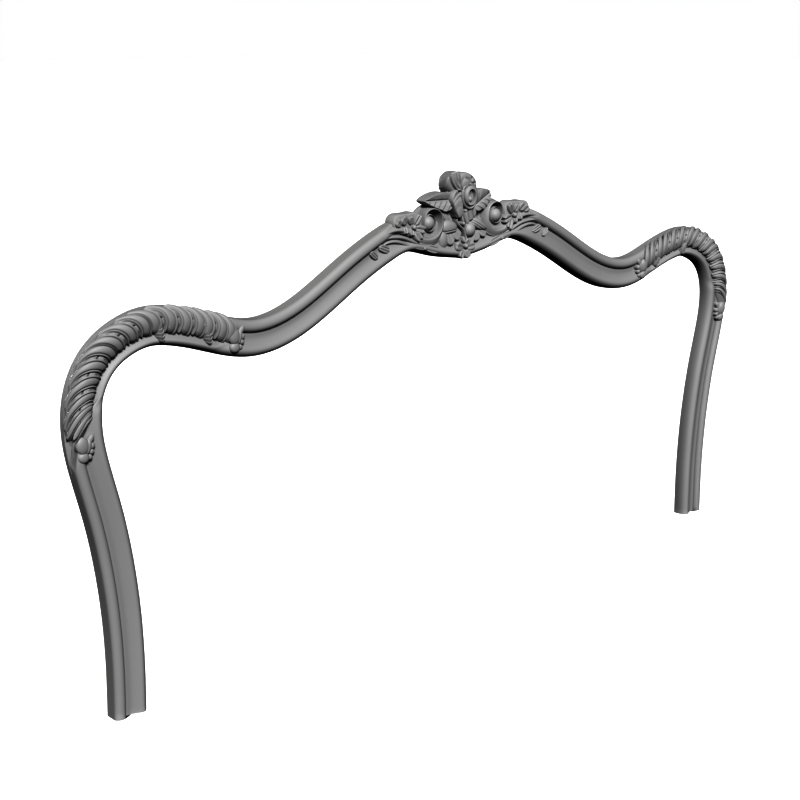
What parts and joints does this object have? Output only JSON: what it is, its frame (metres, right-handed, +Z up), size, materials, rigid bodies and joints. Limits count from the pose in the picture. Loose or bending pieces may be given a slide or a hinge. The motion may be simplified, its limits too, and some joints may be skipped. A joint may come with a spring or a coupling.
{
  "type": "carved backrest onlay",
  "caption": "Waved carved wooden rail with legs, rope-carved shoulders and a rose crest, fixed by its flat back as the show frame of a settee back.",
  "frame": {"origin": "on the flat back, in the middle of the crown, 0.640 m above the cut ends of the legs", "axes": "+X along the rail to the viewer's right, +Y out of the flat back, towards what carries it, +Z up; the carving faces -Y"},
  "size_m": [1.4976, 0.0345, 0.7465],
  "materials": {
    "grey_paint": "carved hardwood in satin grey paint"
  },
  "bodies": {
    "root": {"backrest_onlay": "grey_paint"}
  },
  "joints": []
}
